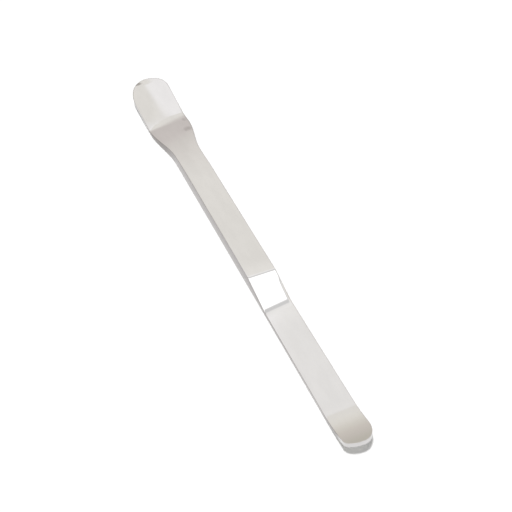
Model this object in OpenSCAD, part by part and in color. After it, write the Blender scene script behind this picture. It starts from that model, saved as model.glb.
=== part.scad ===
// Double-ended laboratory spatula, forged and ground from one bar of stainless steel.
// +X points to the flat blade's tip, -X to the scoop's end, +Z up.
// The origin is on the table, half-way along the tool and under its middle line.
// All sizes are in millimetres.

/* [Overall] */
// Length from the scoop's end to the blade's tip
overall_length = 150; // [130:1:200]

/* [Handle] */
// Width of the handle beside the neck
handle_width = 8; // [6:0.1:10]
// Thickness of the handle
handle_thickness = 3.4; // [2.4:0.1:5]

/* [Blade] */
// Width of the blade at its widest, where the curves of the tip begin
blade_width = 8.6; // [6:0.1:12]
// Thickness of the blade
blade_thickness = 1.1; // [0.8:0.1:1.8]
// Length of the blade, from the foot of the ramp to the tip
blade_length = 47.8; // [30:0.1:60]
// Length of the ground ramp between the handle and the blade
ramp_length = 10.5; // [6:0.5:20]
// Radius of the grinding wheel's mark at the foot of the ramp
ramp_foot_radius = 12; // [2:1:30]

/* [Tip] */
// Length of the end of the blade that is turned up
tip_length = 13.2; // [11:0.1:20]
// Length of the tighter bend that starts the turned-up end
tip_bend_length = 6.5; // [4:0.1:9]
// Angle of the blade where that bend ends
tip_bend_angle = 14; // [5:0.5:15]
// Angle of the blade at its very tip
tip_angle = 22; // [18:0.5:35]
// Length of the tip's short curve, on the -Y side
tip_corner = 2.6; // [1:0.1:6]
// Length of the tip's long curve, on the +Y side
tip_taper = 6; // [3:0.1:8]

/* [Scoop] */
// Width of the scoop across its rims
scoop_width = 12.7; // [10.5:0.1:18]
// Length of the scoop, from its end to the bend
scoop_length = 22.5; // [18:0.1:35]
// Thickness of the scoop's wall
scoop_wall = 0.8; // [0.5:0.1:1]
// Depth of the scoop below its rims at its end, which fades out at the bend
scoop_depth = 0.45; // [0.3:0.05:1]
// Angle at which the scoop's floor rises from the bend to its end
scoop_tilt = 5.2; // [2:0.1:12]
// Radius of the tight corner of the scoop's end, on the +Y side
end_corner = 5.6; // [3:0.1:6]
// Length of the long curve on the other side of the scoop's end
end_taper = 10; // [6:0.5:16]

/* [Neck] */
// Length of the slope, from the bend to where the handle is level
neck_length = 28; // [20:0.5:36]
// Length of the curve that ends the slope at its upper end
crest_length = 21; // [6:0.5:26]
// Length of the curved shoulders between the scoop and the handle
shoulder_length = 16.5; // [8:0.5:22]

/* [Hidden] */
$fn = 720; // long shallow arcs

arc_steps = 10; // straight steps in one arc of the side view
outline_steps = 24; // straight steps in one curve of the outline
cut_margin = 5; // how far the cutting tools reach past the metal
spare_length = 1; // how far the blade is drawn past its tip before the tip is cut
spare_width = 0.02; // how much wider than the blade the tip's curves start

tip_x = overall_length / 2;
end_x = -overall_length / 2;
tip_y = blade_width / 2;
foot_x = tip_x - blade_length;
ramp_x = foot_x - ramp_length;
ramp_angle = atan((handle_thickness - blade_thickness) / ramp_length);
foot_tangent = ramp_foot_radius * tan(ramp_angle / 2);

// The turned-up tip follows two tangent circles that roll up from the table.
turn_x = tip_x - tip_length;
turn_radius = tip_bend_length / sin(tip_bend_angle);
turn_centre = [turn_x, turn_radius];
curl_radius = (tip_length - tip_bend_length) / (sin(tip_angle) - sin(tip_bend_angle));
curl_centre = turn_centre
    + (curl_radius - turn_radius) * [-sin(tip_bend_angle), cos(tip_bend_angle)];
tip_rise = curl_centre[1] - curl_radius * cos(tip_angle);

// The scoop's wall lies between two cylinders with one centre line.
rim_y = scoop_width / 2;
trough_radius = (pow(rim_y, 2) + pow(scoop_depth, 2)) / (2 * scoop_depth);
belly_radius = trough_radius + scoop_wall;
bend_x = end_x + scoop_length;
end_rise = scoop_length * tan(scoop_tilt);
rim_slope = (end_rise + scoop_depth) / scoop_length;

level_x = bend_x + neck_length;
neck_angle = atan((handle_thickness - scoop_wall) / (neck_length - crest_length / 2));
crest_radius = crest_length / sin(neck_angle);
shoulder_end_x = bend_x + shoulder_length;

// Points on an ellipse, from one angle to another
function arc(centre, size, from, to, steps) =
    [for (i = [0:steps])
        let (a = from + (to - from) * i / steps)
        [centre[0] + size[0] * cos(a), centre[1] + size[1] * sin(a)]];

// Half width between the shoulders and the tip: the sides flare near the tip
function side_y(x) =
    let (t = (x - shoulder_end_x) / (tip_x - tip_taper - shoulder_end_x))
    (handle_width + (blade_width - handle_width) * pow(t, 3)) / 2;

// Half width along a shoulder: 0 is at the scoop, 1 at the handle
function shoulder_y(t) =
    let (swing = (1 - cos(180 * t)) / 2)
    rim_y + (side_y(shoulder_end_x) - rim_y) * swing;

shoulder = [for (i = [0:outline_steps])
    let (t = i / outline_steps)
    [bend_x + shoulder_length * t, shoulder_y(t)]];

widest_x = tip_x - tip_taper;
flare = [for (i = [1:outline_steps])
    let (x = shoulder_end_x + (widest_x - shoulder_end_x) * i / outline_steps)
    [x, side_y(x)]];

// Both ends are ground tight on one side and long on the other.
crown_y = rim_y - end_corner;
end_tight = arc([end_x + end_corner, crown_y], [end_corner, end_corner], 180, 90, outline_steps);
end_long = arc([end_x + end_taper, crown_y], [end_taper, rim_y + crown_y], 270, 180, outline_steps);
cut_y = tip_y + spare_width;
tip_tight = arc([-tip_corner, 0], [tip_corner, cut_y], 0, -90, outline_steps);
tip_long = arc([-tip_taper, 0], [tip_taper, cut_y], 90, 0, outline_steps);

// The tool seen from above, before its tip is rounded
module outline() {
    far_side = concat(shoulder, flare, [[tip_x + cut_margin, tip_y]]);
    near_side = [for (i = [len(far_side) - 1:-1:0]) [far_side[i][0], -far_side[i][1]]];
    polygon(concat(end_tight, far_side, near_side, end_long));
}

// The tool seen from the side: x along the tool, y up
module side_view() {
    sheet = [blade_thickness, blade_thickness];
    turn = [turn_radius, turn_radius];
    curl = [curl_radius, curl_radius];
    foot = [ramp_foot_radius, ramp_foot_radius];
    crest = [crest_radius, crest_radius];
    under_turn = arc(turn_centre, turn, -90, tip_bend_angle - 90, arc_steps);
    curl_end = tip_angle + asin(spare_length / curl_radius) - 90;
    under_curl = arc(curl_centre, curl, tip_bend_angle - 90, curl_end, arc_steps);
    top_curl = arc(curl_centre, curl - sheet, curl_end, tip_bend_angle - 90, arc_steps);
    top_turn = arc(turn_centre, turn - sheet, tip_bend_angle - 90, -90, arc_steps);
    ramp_foot = arc([foot_x + foot_tangent, blade_thickness + ramp_foot_radius],
        foot, -90, -90 - ramp_angle, arc_steps);
    neck_crest = arc([level_x, handle_thickness - crest_radius],
        crest, 90, 90 + neck_angle, arc_steps);
    polygon(concat([[end_x, end_rise], [bend_x, 0]], under_turn, under_curl,
        top_curl, top_turn, ramp_foot, [[ramp_x, handle_thickness]], neck_crest,
        [[bend_x, scoop_wall], [end_x, end_rise + scoop_depth + scoop_wall]]));
}

// A side view extruded right across the tool
module across() {
    rotate([90, 0, 0])
        translate([0, 0, -overall_length / 2])
            linear_extrude(overall_length) children();
}

// A cylinder along the tool, as long as the tool, whose lowest line passes through
// [bend_x, 0, z] and rises towards the scoop's end with its floor
module lying_cylinder(radius, z) {
    translate([bend_x, 0, z])
        rotate([0, 90 + scoop_tilt, 0])
            translate([-radius, 0, 0])
                cylinder(r = radius, h = overall_length, center = true);
}

// What is pressed out of the scoop from above
module trough() {
    reach = scoop_length + cut_margin;
    intersection() {
        lying_cylinder(trough_radius, scoop_wall);
        translate([bend_x - reach, -scoop_width, 0])
            cube([reach, 2 * scoop_width, reach]);
    }
}

// What is missing below the scoop's rims, beside its rounded belly
module under_the_rims() {
    reach = scoop_length + cut_margin;
    difference() {
        across() polygon([[bend_x, 0], [bend_x - reach, reach * rim_slope],
            [bend_x - reach, -cut_margin], [bend_x, -cut_margin]]);
        lying_cylinder(belly_radius, 0);
    }
}

// What is ground away around the tip, square to the turned-up blade
module around_the_tip() {
    translate([tip_x, 0, tip_rise])
        rotate([0, -tip_angle, 0])
            translate([0, 0, -cut_margin])
                linear_extrude(2 * cut_margin)
                    polygon(concat([[cut_margin, -blade_width], [cut_margin, blade_width],
                        [-tip_taper, blade_width]], tip_long, tip_tight,
                        [[-tip_corner, -blade_width]]));
}

module spatula() {
    color("silver")
        difference() {
            intersection() {
                linear_extrude(overall_length) outline();
                across() side_view();
            }
            trough();
            under_the_rims();
            around_the_tip();
        }
}

spatula();
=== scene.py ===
import math

import bpy
import numpy as np
from mathutils import Matrix, Vector
from mathutils.kdtree import KDTree


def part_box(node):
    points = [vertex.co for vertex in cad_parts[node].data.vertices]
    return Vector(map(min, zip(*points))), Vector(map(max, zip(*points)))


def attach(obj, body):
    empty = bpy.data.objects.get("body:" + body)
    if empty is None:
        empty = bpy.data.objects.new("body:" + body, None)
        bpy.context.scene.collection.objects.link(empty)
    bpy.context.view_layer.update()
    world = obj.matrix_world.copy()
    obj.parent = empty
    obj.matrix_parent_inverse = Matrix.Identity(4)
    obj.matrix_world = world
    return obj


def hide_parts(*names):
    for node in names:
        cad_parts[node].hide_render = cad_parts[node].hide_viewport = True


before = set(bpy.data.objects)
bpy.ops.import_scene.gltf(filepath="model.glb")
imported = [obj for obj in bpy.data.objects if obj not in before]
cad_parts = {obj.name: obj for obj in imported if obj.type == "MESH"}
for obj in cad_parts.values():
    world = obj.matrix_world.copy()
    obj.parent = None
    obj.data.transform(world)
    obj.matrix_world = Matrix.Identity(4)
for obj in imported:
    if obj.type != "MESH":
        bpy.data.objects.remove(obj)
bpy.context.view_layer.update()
print("frame loaded, nodes:", len(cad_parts))

mm = 0.001
white = (1, 1, 1, 1)


class Wire:  # one socket of a shader, used like a number in an expression
    def __init__(self, board, socket):
        self.board = board
        self.socket = socket

    def maths(self, operation, other):
        return self.board.add("Math", {"operation": operation}, [self, other])

    def __add__(self, other):
        return self.maths("ADD", other)

    def __sub__(self, other):
        return self.maths("SUBTRACT", other)

    def __rsub__(self, other):
        return self.board.add("Math", {"operation": "SUBTRACT"}, [other, self])

    def __mul__(self, other):
        return self.maths("MULTIPLY", other)

    def __or__(self, other):  # the larger of two masks
        return self.maths("MAXIMUM", other)

    __radd__ = __add__
    __rmul__ = __mul__
    __ror__ = __or__

    def step(self, low, high):  # 0 below low, 1 above high, smooth between
        settings = {"interpolation_type": "SMOOTHSTEP"}
        return self.board.add("MapRange", settings, {0: self, 1: low, 2: high})

    def band(self, low, high, softness):  # 1 between low and high
        rise = self.step(low - softness, low + softness)
        return rise * (1 - self.step(high - softness, high + softness))

    def stretch(self, x, y, z):  # a vector scaled along each axis
        return self.board.add("VectorMath", {"operation": "MULTIPLY"}, [self, (x, y, z)])

    def distance(self, centre):  # how far a vector is from a place
        return self.board.add("VectorMath", {"operation": "DISTANCE"}, [self, centre], 1)

    def mix(self, first, second):  # two colours, blended by this mask
        return self.board.add("Mix", {"data_type": "RGBA"}, {0: self, 6: first, 7: second}, 2)


class Board:  # the nodes of one material or world
    def __init__(self, owner):
        owner.use_nodes = True
        self.nodes = owner.node_tree.nodes
        self.links = owner.node_tree.links
        self.nodes.clear()

    def add(self, kind, settings, sockets, output=0):
        node = self.nodes.new("ShaderNode" + kind)
        for name, value in settings.items():
            if name == "stops":
                self.fillRamp(node.color_ramp, value)
            else:
                setattr(node, name, value)
        pairs = sockets.items() if isinstance(sockets, dict) else enumerate(sockets)
        for name, value in pairs:
            if isinstance(value, Wire):
                self.links.new(value.socket, node.inputs[name])
            else:
                node.inputs[name].default_value = value
        return Wire(self, node.outputs[output]) if node.outputs else node

    def fillRamp(self, ramp, stops):
        while len(ramp.elements) < len(stops):
            ramp.elements.new(0.5)
        for element, (position, colour) in zip(ramp.elements, stops):
            element.position = position
            element.color = colour


spatula = {
    "handleWidth": 8.0 * mm,
    "handleThickness": 3.4 * mm,
    "bladeWidth": 8.6 * mm,
    "bladeThickness": 1.1 * mm,
    "bladeLength": 47.8 * mm,
    "rampLength": 10.5 * mm,
    "rampFootRadius": 12 * mm,
    "tipLength": 13.2 * mm,
    "tipBendLength": 6.5 * mm,
    "tipBendAngle": math.radians(14),
    "tipAngle": math.radians(22),
    "tipCorner": 2.6 * mm,
    "tipTaper": 6 * mm,
    "scoopLength": 22.5 * mm,
    "scoopWall": 0.8 * mm,
    "scoopDepth": 0.45 * mm,
    "scoopTilt": math.radians(5.2),
    "endCorner": 5.6 * mm,
    "endTaper": 10 * mm,
    "neckLength": 28 * mm,
    "crestLength": 21 * mm,
    "shoulderLength": 16.5 * mm,
    "topEdge": 0.1 * mm,  # how far the edges are rounded
    "bottomEdge": 0.1 * mm,
    "creaseSoftness": 0.1 * mm,
    "bendSoftness": 0.24 * mm,
    "bendSpread": 0.02,  # how much softer the bend gets for each mm towards +Y
    "bendSkew": (20 * mm, 1.8 * mm, 0.275, 0),  # reach, setback, slant, curl at the +Y edge
    "footSkew": (8 * mm, -0.2 * mm, 0.1, 0.9 * mm),
    "curlWidth": 0.6 * mm,  # the strip along the handle's +Y edge that a curl bends
    # partly painted shade: the sides are darker for their coarser ground finish, and darker still
    # where painted shade stands in for the contact shadow they mirror and the shadow under the
    # raised tip
    "sideShade": [  # mm from the scoop's end, darkness of the side faces
        (0.5, 0.9),
        (2, 0.8),
        (5, 0.45),
        (19, 0.4),
        (25, 0.9),
        (32, 0.85),
        (37, 0.75),
        (105, 0.75),
        (120, 0.65),
        (135, 0.55),
        (144, 0.8),
        (147, 0.2),
    ],
    # painted shade: dark lines along the rounded rims, standing in for the dark surroundings they
    # mirror
    "rimShade": [  # the same for the rim of the top and bottom faces
        (0, 0.45),
        (5, 0.4),
        (10, 0.1),
        (14, 0.1),
        (18, 0.35),
        (25, 0.35),
        (31, 0.2),
        (37, 0.16),
        (95, 0.12),
        (103, 0.08),
        (120, 0.12),
        (133, 0.14),
        (139, 0.05),
        (150, 0),
    ],
    "rimWidth": 0.35 * mm,
    # painted shade on the rounded top edge
    "topEdgeShade": 1.05,  # how much darker the rounded top edge is than the side
    "edgeSteps": 6,  # how finely the mesh is divided
    "crossSteps": 40,
    "endSteps": 48,
    "plainStep": 1.0 * mm,
    "neckStep": 0.4 * mm,
    "leastStep": 0.03 * mm,
    "creaseReach": 0.6 * mm,
    "creaseSteps": 16,
    "footReach": 1.4 * mm,
    "footSteps": 22,
}

low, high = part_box("spatula")
endX = low.x
tipX = high.x
rimY = (high.y - low.y) / 2
footX = tipX - spatula["bladeLength"]
rampX = footX - spatula["rampLength"]
bendX = endX + spatula["scoopLength"]
levelX = bendX + spatula["neckLength"]
shoulderEndX = bendX + spatula["shoulderLength"]
troughRadius = (rimY**2 + spatula["scoopDepth"] ** 2) / (2 * spatula["scoopDepth"])

# The turned-up tip: two tangent circles that roll up from the table.
turnX = tipX - spatula["tipLength"]
turnRadius = spatula["tipBendLength"] / math.sin(spatula["tipBendAngle"])
turnArc = turnRadius * spatula["tipBendAngle"]
curlRadius = (spatula["tipLength"] - spatula["tipBendLength"]) / (
    math.sin(spatula["tipAngle"]) - math.sin(spatula["tipBendAngle"])
)
flatTipX = turnX + turnArc + curlRadius * (spatula["tipAngle"] - spatula["tipBendAngle"])


def softMin(a, b, softness):  # the smaller of two heights, with the crease between them rounded
    share = np.clip(0.5 + 0.5 * (b - a) / softness, 0, 1)
    return b + (a - b) * share - softness * share * (1 - share)


def softMax(a, b, softness):
    return -softMin(-a, -b, softness)


def dish(radius, y):  # how far a lying cylinder has risen at y from its lowest line
    return radius - np.sqrt(np.maximum(radius**2 - y**2, 0))


def floorRise(x):  # how far the scoop's floor has risen from the bend
    return np.maximum(bendX - x, 0) * math.tan(spatula["scoopTilt"])


def handleTop(x):  # the neck's slope and crest, the handle, the ramp and the blade
    p = spatula
    slope = (p["handleThickness"] - p["scoopWall"]) / (p["neckLength"] - p["crestLength"] / 2)
    crestRadius = p["crestLength"] / math.sin(math.atan(slope))
    crest = p["handleThickness"] - dish(crestRadius, np.clip(levelX - x, 0, p["crestLength"]))
    neck = crest - slope * np.maximum(levelX - p["crestLength"] - x, 0)
    rampSlope = (p["handleThickness"] - p["bladeThickness"]) / p["rampLength"]
    ramp = p["handleThickness"] - rampSlope * (x - rampX)
    footSoftness = p["rampFootRadius"] * rampSlope**2 / 2
    top = softMin(neck, ramp, p["creaseSoftness"])
    return np.where(x < rampX, top, softMax(top, p["bladeThickness"], footSoftness))


def scoopDish(x, y, radius):  # the scoop's dish, which fades out at the bend
    fromEnd = np.clip((x - endX) / spatula["scoopLength"], 0, 1)
    return dish(radius, y) * (1 - fromEnd**2)


def skewed(x, y):  # the bend and the ramp's foot are set back and slant across the tool
    moved = x
    curlStart = spatula["handleWidth"] / 2 - spatula["curlWidth"]
    beyond = np.maximum((y - curlStart) / spatula["curlWidth"], 0)
    for centre, skew in ((bendX, spatula["bendSkew"]), (footX, spatula["footSkew"])):
        reach, setback, slant, curl = skew
        near = np.maximum(1 - ((x - centre) / reach) ** 2, 0)
        moved = moved + (setback + slant * y + curl * beyond**2) * near
    return moved


def topHeight(x, y):
    x = skewed(x, y)
    scoop = spatula["scoopWall"] + floorRise(x) + scoopDish(x, y, troughRadius)
    return softMax(scoop, handleTop(x), spatula["bendSoftness"] + spatula["bendSpread"] * y)


def underHeight(x, y):
    x = skewed(x, y)
    return floorRise(x) + scoopDish(x, y, troughRadius + spatula["scoopWall"])


def straightSide(x):  # half the width of the handle and of the blade, which flares to its tip
    p = spatula
    share = np.clip((x - shoulderEndX) / (flatTipX - p["tipTaper"] - shoulderEndX), 0, 1)
    return (p["handleWidth"] + (p["bladeWidth"] - p["handleWidth"]) * share**3) / 2


def sideY(x, endCurve, endWidth, tipCurve):  # one side, with its own curve at either end
    handle = straightSide(x)
    swing = (1 - np.cos(np.pi * np.clip((x - bendX) / spatula["shoulderLength"], 0, 1))) / 2
    body = rimY + (handle - rimY) * swing
    inward = np.clip((endX + endCurve - x) / endCurve, 0, 1)
    end = endWidth * (np.sqrt(1 - inward**2) - 1)
    outward = np.clip((x - flatTipX + tipCurve) / tipCurve, 0, 1)
    return (body + end) * np.sqrt(1 - outward**2)


def stations():  # places along the tool, closer together where the shape changes
    p = spatula
    crease = np.linspace(-p["creaseReach"], p["creaseReach"], p["creaseSteps"] + 1)
    foot = np.linspace(-p["footReach"], p["footReach"], p["footSteps"] + 1)
    curve = 1 - np.cos(np.linspace(0, np.pi / 2, p["endSteps"] + 1))
    every = [endX + length * curve for length in (p["endCorner"], p["endTaper"])]
    every += [flatTipX - length * curve for length in (p["tipCorner"], p["tipTaper"])]
    every.append(np.arange(endX + p["endTaper"], flatTipX - p["tipTaper"], p["plainStep"]))
    every.append(np.arange(bendX, levelX, p["neckStep"]))
    every += [bendX + crease, rampX + crease, footX + foot]
    every = np.unique(np.round(np.concatenate(every), 6))
    keep = [every[0]]
    for x in every[1:]:
        if x - keep[-1] > p["leastStep"]:
            keep.append(x)
    keep[-1] = every[-1]
    return np.array(keep)


def makeOutline(xs):  # seen from above, out along +Y from the scoop's end and back along -Y
    p = spatula
    crownY = rimY - p["endCorner"]
    left = sideY(xs, p["endCorner"], rimY - crownY, p["tipTaper"])
    right = -sideY(xs, p["endTaper"], rimY + crownY, p["tipCorner"])
    left[0] = crownY
    left[-1] = 0
    there = np.column_stack([xs, left])
    back = np.column_stack([xs, right])[-2:0:-1]
    return np.concatenate([there, back])


def rollTip(points):  # the end of the blade is rolled up from the table
    p = spatula
    rolled = points.copy()
    beyond = rolled[:, 0] > turnX
    along = rolled[beyond, 0] - turnX
    height = rolled[beyond, 2]
    curled = along > turnArc
    curlAngle = p["tipBendAngle"] + (along - turnArc) / curlRadius
    angle = np.where(curled, curlAngle, along / turnRadius)
    underX = np.where(curled, (turnRadius - curlRadius) * math.sin(p["tipBendAngle"]), 0)
    underZ = np.where(curled, (curlRadius - turnRadius) * math.cos(p["tipBendAngle"]), 0)
    radius = np.where(curled, curlRadius, turnRadius)
    rolled[beyond, 0] = turnX + underX + (radius - height) * np.sin(angle)
    rolled[beyond, 2] = turnRadius + underZ - (radius - height) * np.cos(angle)
    return rolled


def shadeAt(x, table):  # the darkness at x, from one of the two shade tables
    places, shades = zip(*table)
    return np.interp((x - endX) / mm, places, shades)


def makeSpatula():
    p = spatula
    xs = stations()
    count = len(xs)
    ring = makeOutline(xs)
    around = len(ring)
    along = np.roll(ring, -1, 0) - np.roll(ring, 1, 0)
    along /= np.linalg.norm(along, axis=1)[:, None]
    inward = np.stack([along[:, 1], -along[:, 0]], 1)
    outline = KDTree(around)
    for i in range(around):
        outline.insert((*ring[i], 0), i)
    outline.balance()
    parts = []
    shades = []
    faces = []

    def addRing(turn, fromTop):  # one ring of a rounded edge, 0 on the side, a right angle inmost
        rounding = p["topEdge"] if fromTop else p["bottomEdge"]
        inset = rounding * (1 - math.cos(turn))
        drop = rounding * (1 - math.sin(turn))
        place = ring + inward * inset
        # the sides and rounded edges take the side shade, a darker ground finish with painted
        # shade, fading out across the rounding
        shade = (1 - (inset / rounding) ** 3) * shadeAt(place[:, 0], p["sideShade"])
        if fromTop:
            z = topHeight(place[:, 0], place[:, 1]) - drop
            # the rims take painted shade, a dark line for the dark reflection on the rounded edge
            rim = shadeAt(place[:, 0], p["rimShade"])
            shade = np.maximum(shade * p["topEdgeShade"], rim)
        else:
            z = underHeight(place[:, 0], place[:, 1]) + drop
        parts.append(np.column_stack([place, z]))
        shades.append(shade)

    turns = np.linspace(0, np.pi / 2, p["edgeSteps"] + 1)
    for turn in turns[::-1]:
        addRing(turn, False)
    for turn in turns:
        addRing(turn, True)
    rings = len(parts)
    for k in range(rings - 1):
        below = k * around
        above = below + around
        for i in range(around):
            j = (i + 1) % around
            faces.append((below + i, above + i, above + j, below + j))

    def fill(ringIndex, height, upward):  # the face of the tool inside one ring
        base = ringIndex * around
        outer = parts[ringIndex][:, :2]
        start = sum(len(part) for part in parts)
        across = np.linspace(0, 1, p["crossSteps"] + 1)[1:-1, None]
        rows = []
        for i in range(1, count - 1):
            xy = outer[i] + (outer[around - i] - outer[i]) * across
            rows.append(np.column_stack([xy, height(xy[:, 0], xy[:, 1])]))
        inner = np.concatenate(rows)
        parts.append(inner)
        # painted shade along the rim of each face, fading in from the outline over rimWidth
        gap = np.array([outline.find((x, y, 0))[2] for x, y in inner[:, :2]])
        nearRim = np.maximum(1 - gap / p["rimWidth"], 0)
        shades.append(shadeAt(inner[:, 0], p["rimShade"]) * nearRim)
        width = len(across)

        def row(i):
            first = start + (i - 1) * width
            return [base + i, *range(first, first + width), base + around - i]

        def addFace(*corners):
            faces.append(corners if upward else corners[::-1])

        for i in range(1, count - 2):
            here = row(i)
            there = row(i + 1)
            for k in range(len(here) - 1):
                addFace(here[k], here[k + 1], there[k + 1], there[k])
        first = row(1)
        last = row(count - 2)
        for k in range(len(first) - 1):
            addFace(base, first[k + 1], first[k])
            addFace(base + count - 1, last[k], last[k + 1])

    fill(rings - 1, topHeight, True)
    fill(0, underHeight, False)
    points = rollTip(np.concatenate(parts))
    mesh = bpy.data.meshes.new("spatulaBody")
    mesh.from_pydata(points.tolist(), [], faces)
    mesh.validate()
    # the darkness of the sides and rims, a darker ground finish with painted shade, kept for the
    # steel
    side = mesh.attributes.new("side", "FLOAT", "POINT")
    side.data.foreach_set("value", np.concatenate(shades).astype(np.float32))
    mesh.shade_smooth()
    body = bpy.data.objects.new("spatulaBody", mesh)
    bpy.context.scene.collection.objects.link(body)
    print("spatula made,", len(points), "points")
    return body


steel = {
    "plain": ((0.74, 0.73, 0.725, 1), (0.77, 0.76, 0.755, 1)),  # between the clouds, in them
    "cloudRange": (0.3, 0.7),
    # painted highlight: lighter steel around the ramp
    "rampHighlight": (0.86, 0.85, 0.845, 1),  # around the ramp
    "rampHighlightShare": 0.4,
    "rampHighlightReach": (6, 0, 2, 9),  # mm before the ramp's top from and to, mm past its foot
    # painted reflection: a warm tint towards the tip for the brownish surroundings that the
    # turned-up tip mirrors
    "tipReflectionTint": (0.76, 0.75, 0.71, 1),  # towards the tip, on the faces alone
    "tipTintReach": (12, 5),  # mm before the tip, from and to
    "tipTintEdge": (0.02, 0.15),  # the side shade from and to which it stops
    # the colour that the sides and rims darken to: their darker ground finish, and painted shade
    "side": (0.23, 0.21, 0.205, 1),
    "mark": (0.3, 0.28, 0.27, 1),
    # darker patches: two near the bend on the +Y side, and one at the scoop's end that is painted
    # shade, a dark reflection along its rounded rim
    "marks": [  # mm from the scoop's end, y and z, radii in mm, darkness
        ((27.6, 4.3, 1.4), (2.0, 1.8, 1.0), 0.5),
        ((22.0, 5.2, 0.9), (1.7, 1.0, 0.6), 0.3),
        ((1.5, -3.0, 2.8), (0.8, 2.7, 1.2), 0.75),
    ],
    "markFade": (0.2, 1.0),  # in shares of its radii
    "markRaggedness": 1.5,
    "grain": (0.25, 9, 9),  # per mm, drawn out along the tool
    "grainDetail": 4,
    "clouds": (0.12, 0.3, 0.3),
    "cloudDetail": 3,
    "satinRoughness": 0.06,
    "polishedRoughness": 0.04,
    "polishedReach": (0.3, -0.3, 1.0, 2.5),  # as for the ramp highlight's reach
    "roughnessSpread": 0.04,
    "bumpStrength": 0.05,
    "bumpHeight": 0.02 * mm,
}


def aroundRamp(x, reach):  # 1 on the ramp, fading before its top and past its foot
    before, top, foot, past = reach
    rise = x.step(rampX / mm - before, rampX / mm - top)
    return rise * (1 - x.step(footX / mm + foot, footX / mm + past))


def makeSteel():
    s = steel
    material = bpy.data.materials.new("satinSteel")
    board = Board(material)
    place = board.add("TexCoord", {}, {}, 3).stretch(1 / mm, 1 / mm, 1 / mm)

    def noise(scale, detail):
        sockets = {"Vector": place.stretch(*scale), "Scale": 1.0, "Detail": detail}
        return board.add("TexNoise", {"noise_dimensions": "3D"}, sockets)

    grain = noise(s["grain"], s["grainDetail"])
    clouds = noise(s["clouds"], s["cloudDetail"])
    x = board.add("SeparateXYZ", {}, [place])
    side = board.add("Attribute", {"attribute_name": "side"}, {}, 2)
    # painted reflection: a warm tint on the faces towards the tip
    tintFrom, tintTo = s["tipTintReach"]
    tipReflectionTint = x.step(tipX / mm - tintFrom, tipX / mm - tintTo) * (1 - side.step(*s["tipTintEdge"]))
    colour = clouds.step(*s["cloudRange"]).mix(*s["plain"])
    # painted highlight around the ramp
    colour = (aroundRamp(x, s["rampHighlightReach"]) * s["rampHighlightShare"]).mix(colour, s["rampHighlight"])
    colour = tipReflectionTint.mix(colour, s["tipReflectionTint"])
    # darken the sides and rims: darker ground finish and painted shade
    colour = side.mix(colour, s["side"])
    # darker patches; the last one is painted shade at the scoop's end
    for (fromEnd, markY, markZ), radii, darkness in s["marks"]:
        scale = [1 / radius for radius in radii]
        centre = [a * b for a, b in zip((endX / mm + fromEnd, markY, markZ), scale)]
        distance = place.stretch(*scale).distance(centre) + (clouds - 0.5) * s["markRaggedness"]
        mark = 1 - distance.step(*s["markFade"])
        colour = (mark * darkness).mix(colour, s["mark"])
    roughness = s["satinRoughness"] + (grain + clouds - 1) * s["roughnessSpread"]
    polish = s["satinRoughness"] - s["polishedRoughness"]
    roughness = roughness - aroundRamp(x, s["polishedReach"]) * polish
    sockets = {"Strength": s["bumpStrength"], "Distance": s["bumpHeight"], "Height": grain}
    bump = board.add("Bump", {}, sockets)
    sockets = {"Base Color": colour, "Metallic": 1.0, "Roughness": roughness, "Normal": bump}
    shader = board.add("BsdfPrincipled", {}, sockets)
    board.add("OutputMaterial", {}, [shader])
    print("steel made")
    return material


studio = {
    "floorSize": 3.0,
    "floorColour": (0.93, 0.93, 0.93, 1),
    "floorLift": 0.11,  # what the camera sees added to the lit floor
    "lampStrength": 2.3,
    "lampAngle": math.radians(12),
    "lampTilt": (math.radians(5), math.radians(-5), 0),
    "worldLight": 0.3,
    "azimuth": math.radians(-24.0),
    "elevation": math.radians(46.88),
    "distance": 0.3007,
    "across": 5.32 * mm,
    "up": -4.24 * mm,
    "lens": 76.31,
    "sensorWidth": 36,
    "clipStart": 10 * mm,
    "sky": [  # elevation in degrees, brightness, share of extra red, share of missing blue
        (0, 0.75, 0.04, 0.06),
        (7, 0.62, 0.04, 0.07),
        (11, 0.54, 0.05, 0.08),
        (19, 0.60, 0.05, 0.065),
        (23, 0.65, 0.065, 0.035),
        (26.6, 0.70, 0.065, 0.035),
        (30, 0.77, 0.04, 0.045),
        (34, 0.84, 0.035, 0.045),
        (38, 0.895, 0.025, 0.045),
        (43, 0.925, 0.02, 0.045),
        (48.8, 0.915, 0.02, 0.045),
        (49.5, 0.98, 0.01, 0.015),
        (52, 1.0, 0.01, 0.015),
        (55, 0.975, 0.01, 0.015),
        (57.5, 0.96, 0.01, 0.01),
        (60, 0.74, 0.0, 0.0),
        (64.5, 0.74, 0.0, 0.0),
        (66.3, 1.45, 0.0, 0.0),
        (78, 1.45, 0.0, 0.0),
        (85, 1.0, 0.0, 0.0),
    ],
    "skyScale": 2,  # the ramp's colours are divided by this, as they stop at 1
    "panelAround": (154.5, 175),  # azimuth in degrees
    "panelHeight": (48.75, 57),  # elevation in degrees
    "panelShine": (1.07, 0.01, 0.0),  # as for the sky
    "panelSoftness": (0.006, 0.008),  # of its sides, of its top and bottom
}


def seenBackdrop(board):  # 1 for the rays that show the background, also in metal and glass
    camera, glossy, transmission = [board.add("LightPath", {}, {}, ray) for ray in (0, 3, 6)]
    return camera | glossy | transmission


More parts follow.
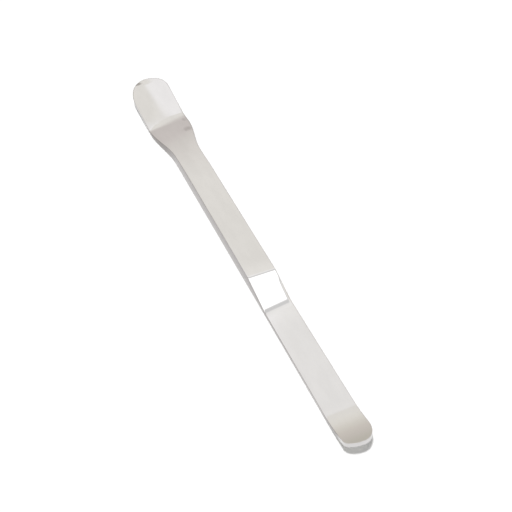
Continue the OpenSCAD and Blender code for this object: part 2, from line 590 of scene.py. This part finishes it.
def makeFloor():
    half = studio["floorSize"] / 2
    mesh = bpy.data.meshes.new("floor")
    corners = [(-half, -half, 0), (half, -half, 0), (half, half, 0), (-half, half, 0)]
    mesh.from_pydata(corners, [], [(0, 1, 2, 3)])
    floor = bpy.data.objects.new("floor", mesh)
    bpy.context.scene.collection.objects.link(floor)
    material = bpy.data.materials.new("floorPaper")
    board = Board(material)
    paper = board.add("BsdfDiffuse", {}, {"Color": studio["floorColour"]})
    glow = board.add("Emission", {}, {"Color": white, "Strength": studio["floorLift"]})
    lifted = board.add("AddShader", {}, [paper, glow])
    shader = board.add("MixShader", {}, [seenBackdrop(board), paper, lifted])
    board.add("OutputMaterial", {}, [shader])
    mesh.materials.append(material)
    print("floor made")


def skyColour(brightness, red, blue):
    green = brightness / studio["skyScale"]
    return (green * (1 + red), green, green * (1 - blue), 1)


def heightOf(elevation):  # the z of a direction
    return math.sin(math.radians(elevation))


def makeWorld():
    world = bpy.data.worlds.new("softStudio")
    bpy.context.scene.world = world
    board = Board(world)
    direction = board.add("TexCoord", {}, {})
    x, y, z = [board.add("SeparateXYZ", {}, [direction], axis) for axis in range(3)]
    stops = [(heightOf(elevation), skyColour(*shine)) for elevation, *shine in studio["sky"]]
    sky = board.add("ValToRGB", {"stops": stops}, [z])
    around = board.add("Math", {"operation": "ARCTAN2"}, [y, x])
    left, right = [math.radians(azimuth) for azimuth in studio["panelAround"]]
    bottom, top = [heightOf(elevation) for elevation in studio["panelHeight"]]
    sideSoftness, topSoftness = studio["panelSoftness"]
    panel = around.band(left, right, sideSoftness) * z.band(bottom, top, topSoftness)
    sky = panel.mix(sky, skyColour(*studio["panelShine"]))
    mirrored = board.add("Background", {}, {"Color": sky, "Strength": studio["skyScale"]})
    light = board.add("Background", {}, {"Color": white, "Strength": studio["worldLight"]})
    backdrop = board.add("Background", {}, {"Color": white, "Strength": 1.0})
    both = board.add("MixShader", {}, [seenBackdrop(board), light, mirrored])
    isCamera = board.add("LightPath", {}, {})
    shader = board.add("MixShader", {}, [isCamera, both, backdrop])
    board.add("OutputWorld", {}, [shader])
    print("sky made")


def makeLamp():
    lamp = bpy.data.lights.new("overhead", "SUN")
    lamp.energy = studio["lampStrength"]
    lamp.angle = studio["lampAngle"]
    holder = bpy.data.objects.new("overhead", lamp)
    holder.rotation_euler = studio["lampTilt"]
    holder.visible_glossy = False  # the sky already holds what the steel mirrors
    bpy.context.scene.collection.objects.link(holder)
    print("lamp made")


def makeCamera():
    s = studio
    level = math.cos(s["elevation"])
    backX = level * math.cos(s["azimuth"])
    backY = level * math.sin(s["azimuth"])
    back = Vector((backX, backY, math.sin(s["elevation"])))
    right = Vector((0, 0, 1)).cross(back).normalized()
    up = back.cross(right)
    camera = bpy.data.objects.new("camera", bpy.data.cameras.new("camera"))
    bpy.context.scene.collection.objects.link(camera)
    place = back * s["distance"] + right * s["across"] + up * s["up"]
    turn = Matrix((right, up, back)).transposed().to_4x4()
    camera.matrix_world = Matrix.Translation(place) @ turn
    camera.data.lens = s["lens"]
    camera.data.sensor_width = s["sensorWidth"]
    camera.data.clip_start = s["clipStart"]
    bpy.context.scene.camera = camera
    print("camera made")


makeCamera()
makeFloor()
makeWorld()
makeLamp()
body = makeSpatula()
body.data.materials.append(makeSteel())
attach(body, "root")
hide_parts("spatula")
bpy.context.scene.view_settings.view_transform = "Standard"
